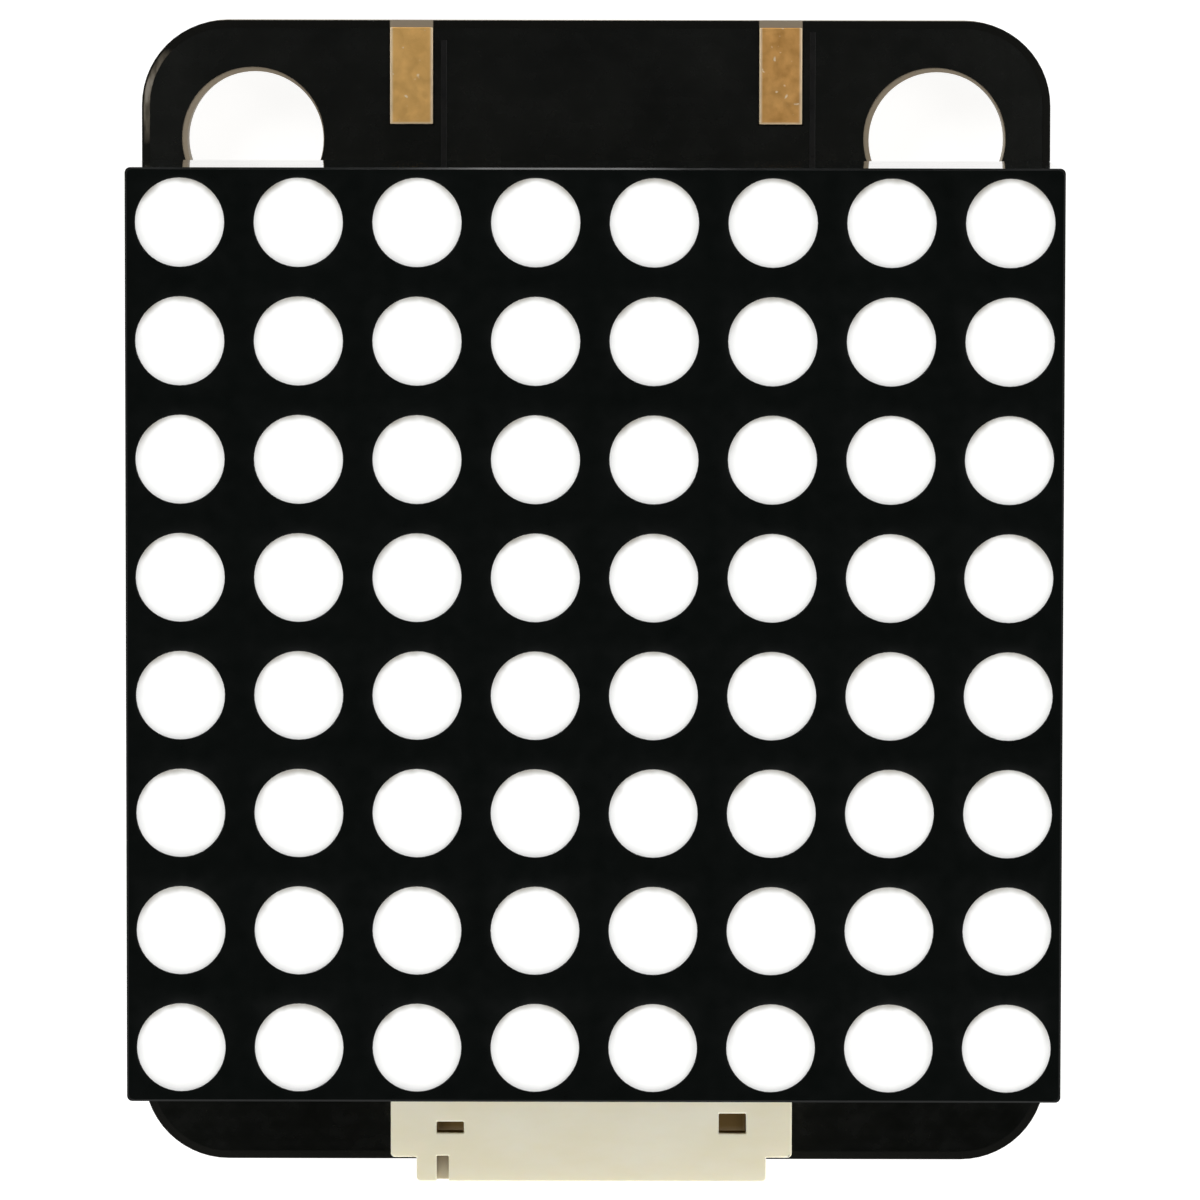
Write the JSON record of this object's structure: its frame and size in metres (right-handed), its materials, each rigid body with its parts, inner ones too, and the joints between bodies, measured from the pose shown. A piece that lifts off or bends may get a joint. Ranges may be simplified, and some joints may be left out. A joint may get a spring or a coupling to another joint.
{
  "type": "led dot matrix module",
  "caption": "Square dot matrix display of white round dots in a black shell, raised above a carrier board with a driver chip, a side-entry wire header and two mounting holes.",
  "frame": {"origin": "centre of the carrier board in plan, at the tips of the display pins that the module rests on", "axes": "+Z out of the display's face, +Y towards the board edge with the two mounting holes and the gold pads, +X to the right when the face is looked at with that edge up"},
  "size_m": [0.032, 0.0404, 0.0162],
  "materials": {
    "solder_mask": "black solder mask over glass laminate, faint traces below it, bare laminate at the cut edges",
    "gold_plate": "soft gold plating, slightly mottled",
    "shell_black": "black moulded polycarbonate, satin face",
    "milky_resin": "milky white diffusing resin, smooth",
    "die": "pale semiconductor die",
    "die_board": "pale glass laminate",
    "seal_resin": "cast resin, cloudy",
    "tinned_wire": "tinned round wire",
    "solder": "bright solder",
    "chip_black": "black moulded epoxy, fine matte",
    "lead_tin": "matte tin plating",
    "header_nylon": "ivory nylon, faint sheen",
    "resistor_glaze": "black glaze",
    "capacitor_ceramic": "tan ceramic",
    "tantalum_black": "dark moulded epoxy"
  },
  "bodies": {
    "root": {"carrier_board": "solder_mask", "edge_pad_left": "gold_plate", "edge_pad_right": "gold_plate", "reflector_shell": "shell_black", "dot_row_1": "milky_resin", "dot_row_2": "milky_resin", "dot_row_3": "milky_resin", "dot_row_4": "milky_resin", "dot_row_5": "milky_resin", "dot_row_6": "milky_resin", "dot_row_7": "milky_resin", "dot_row_8": "milky_resin", "led_dies": "die", "die_board": "die_board", "back_seal": "seal_resin", "pins_left": "tinned_wire", "pins_right": "tinned_wire", "solder_left": "solder", "solder_right": "solder", "driver_chip": "chip_black", "driver_leads": "lead_tin", "header_shell": "header_nylon", "header_contacts": "lead_tin", "header_tab_left": "lead_tin", "header_tab_right": "lead_tin", "pull_up_resistors": "resistor_glaze", "pull_up_ends": "lead_tin", "bypass_capacitor": "capacitor_ceramic", "bypass_ends": "lead_tin", "bulk_capacitor": "tantalum_black", "bulk_strips": "lead_tin"}
  },
  "joints": []
}
